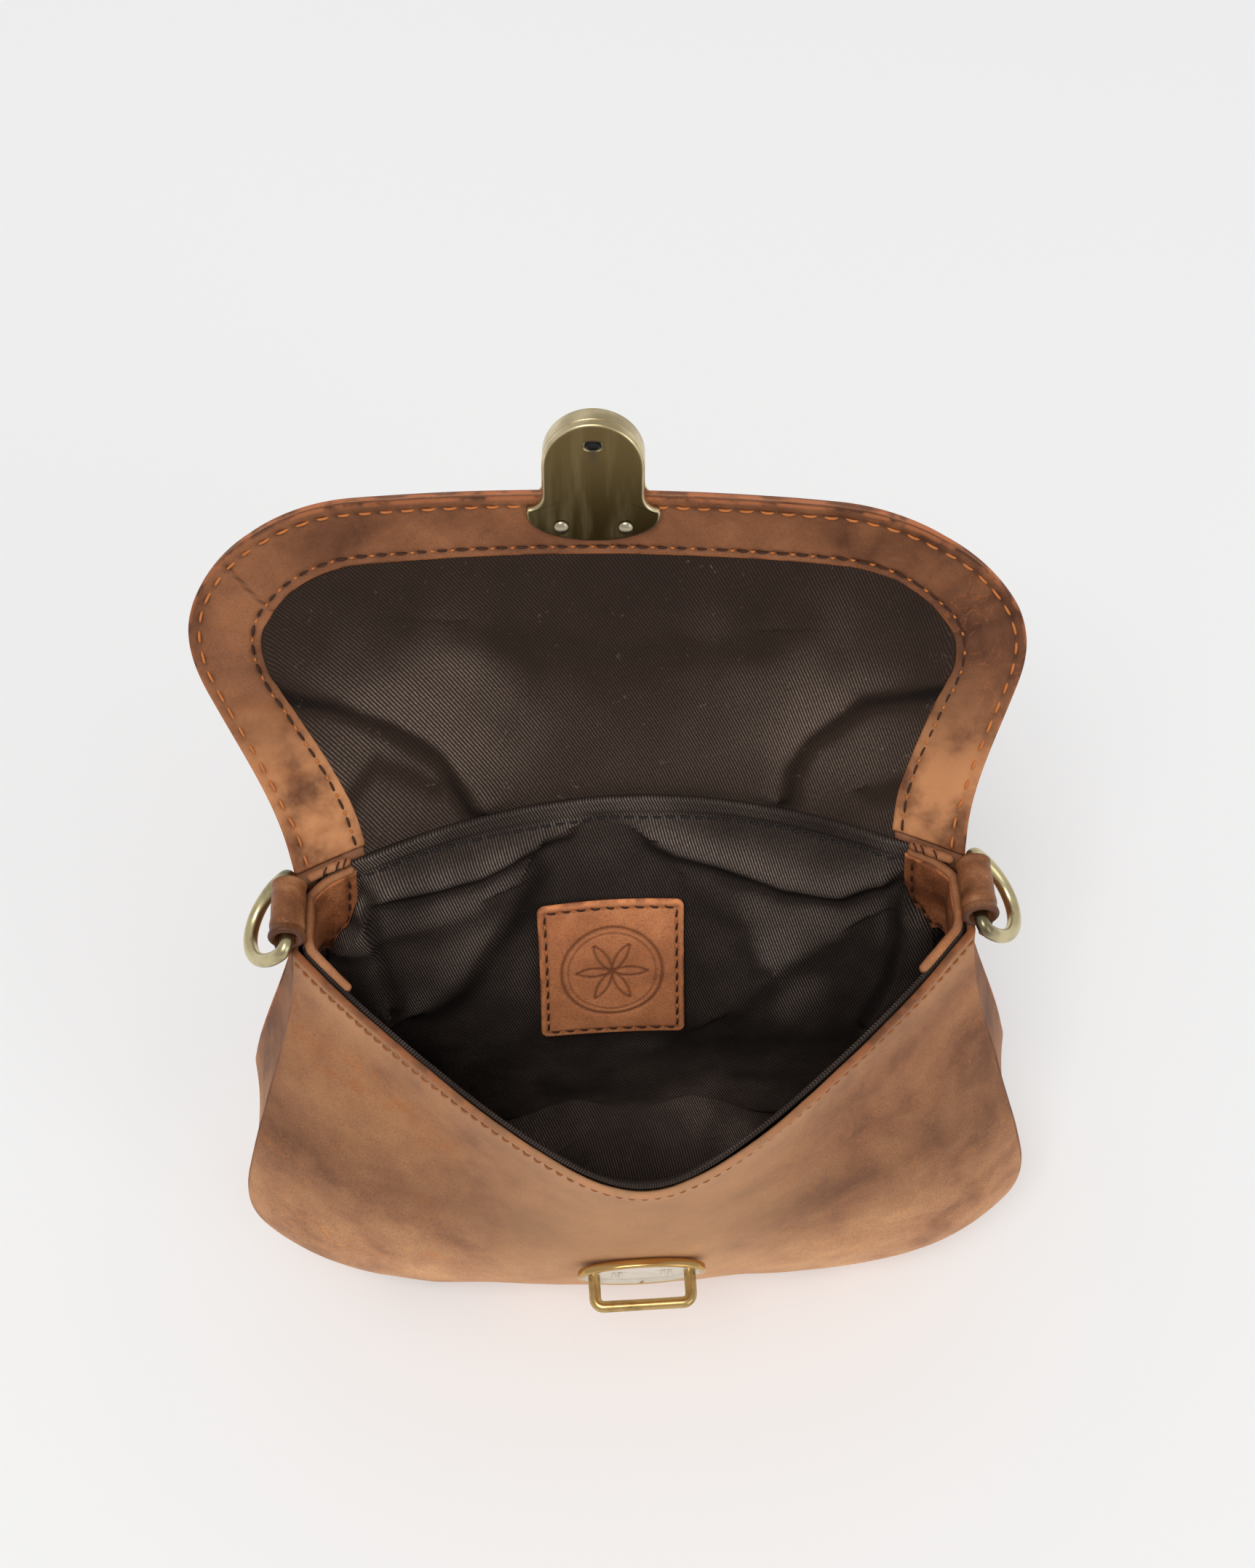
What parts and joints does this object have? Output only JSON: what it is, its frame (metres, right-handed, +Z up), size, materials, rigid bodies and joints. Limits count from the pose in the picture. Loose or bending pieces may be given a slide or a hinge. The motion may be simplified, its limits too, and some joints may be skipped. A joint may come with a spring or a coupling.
{
  "type": "shoulder bag",
  "caption": "Small leather saddle-shaped shoulder bag standing open, with a flap, a cloth lining, strap rings in leather tabs and a tuck clasp.",
  "frame": {"origin": "on the ground, under the flat of the base, midway between the two sides", "axes": "+X to the right of the bag as its front is faced, +Y from the front to the back, +Z up"},
  "size_m": [0.2264, 0.1643, 0.2466],
  "materials": {
    "hide": "matt waxed hide, mottled tan and brown, raw edges",
    "facing_hide": "smooth orange-brown hide with a fine grain",
    "twill": "very dark brown cotton twill, matt",
    "pale_brass": "pale antique brass, polished on the high places",
    "dark_brass": "dark antique brass, satin, with a pale worn rim",
    "bright_steel": "bright nickel-plated steel"
  },
  "bodies": {
    "bag": {"front_panel": "hide", "back_flap": "hide", "gusset": "hide", "lining": "twill", "flap_lining": "twill", "flap_facing": "facing_hide", "corner_facing_left": "facing_hide", "corner_facing_right": "facing_hide", "inner_patch": "facing_hide", "ring_tab_left": "hide", "ring_tab_right": "hide", "clasp_body": "dark_brass", "clasp_rivet_left": "bright_steel", "clasp_rivet_right": "bright_steel", "catch_plate": "bright_steel", "catch_loop": "pale_brass"},
    "left_ring": {"ring_left": "pale_brass"},
    "right_ring": {"ring_right": "pale_brass"}
  },
  "joints": [
    {"name": "ring_left_swing", "type": "hinge", "parent": "bag", "child": "left_ring", "pos_m": [-0.0887, -0.0014, 0.15694], "axis": [0, 1, 0], "range_deg": [-10, 115]},
    {"name": "ring_right_swing", "type": "hinge", "parent": "bag", "child": "right_ring", "pos_m": [0.0887, -0.0014, 0.15694], "axis": [0, -1, 0], "range_deg": [-10, 115]}
  ]
}
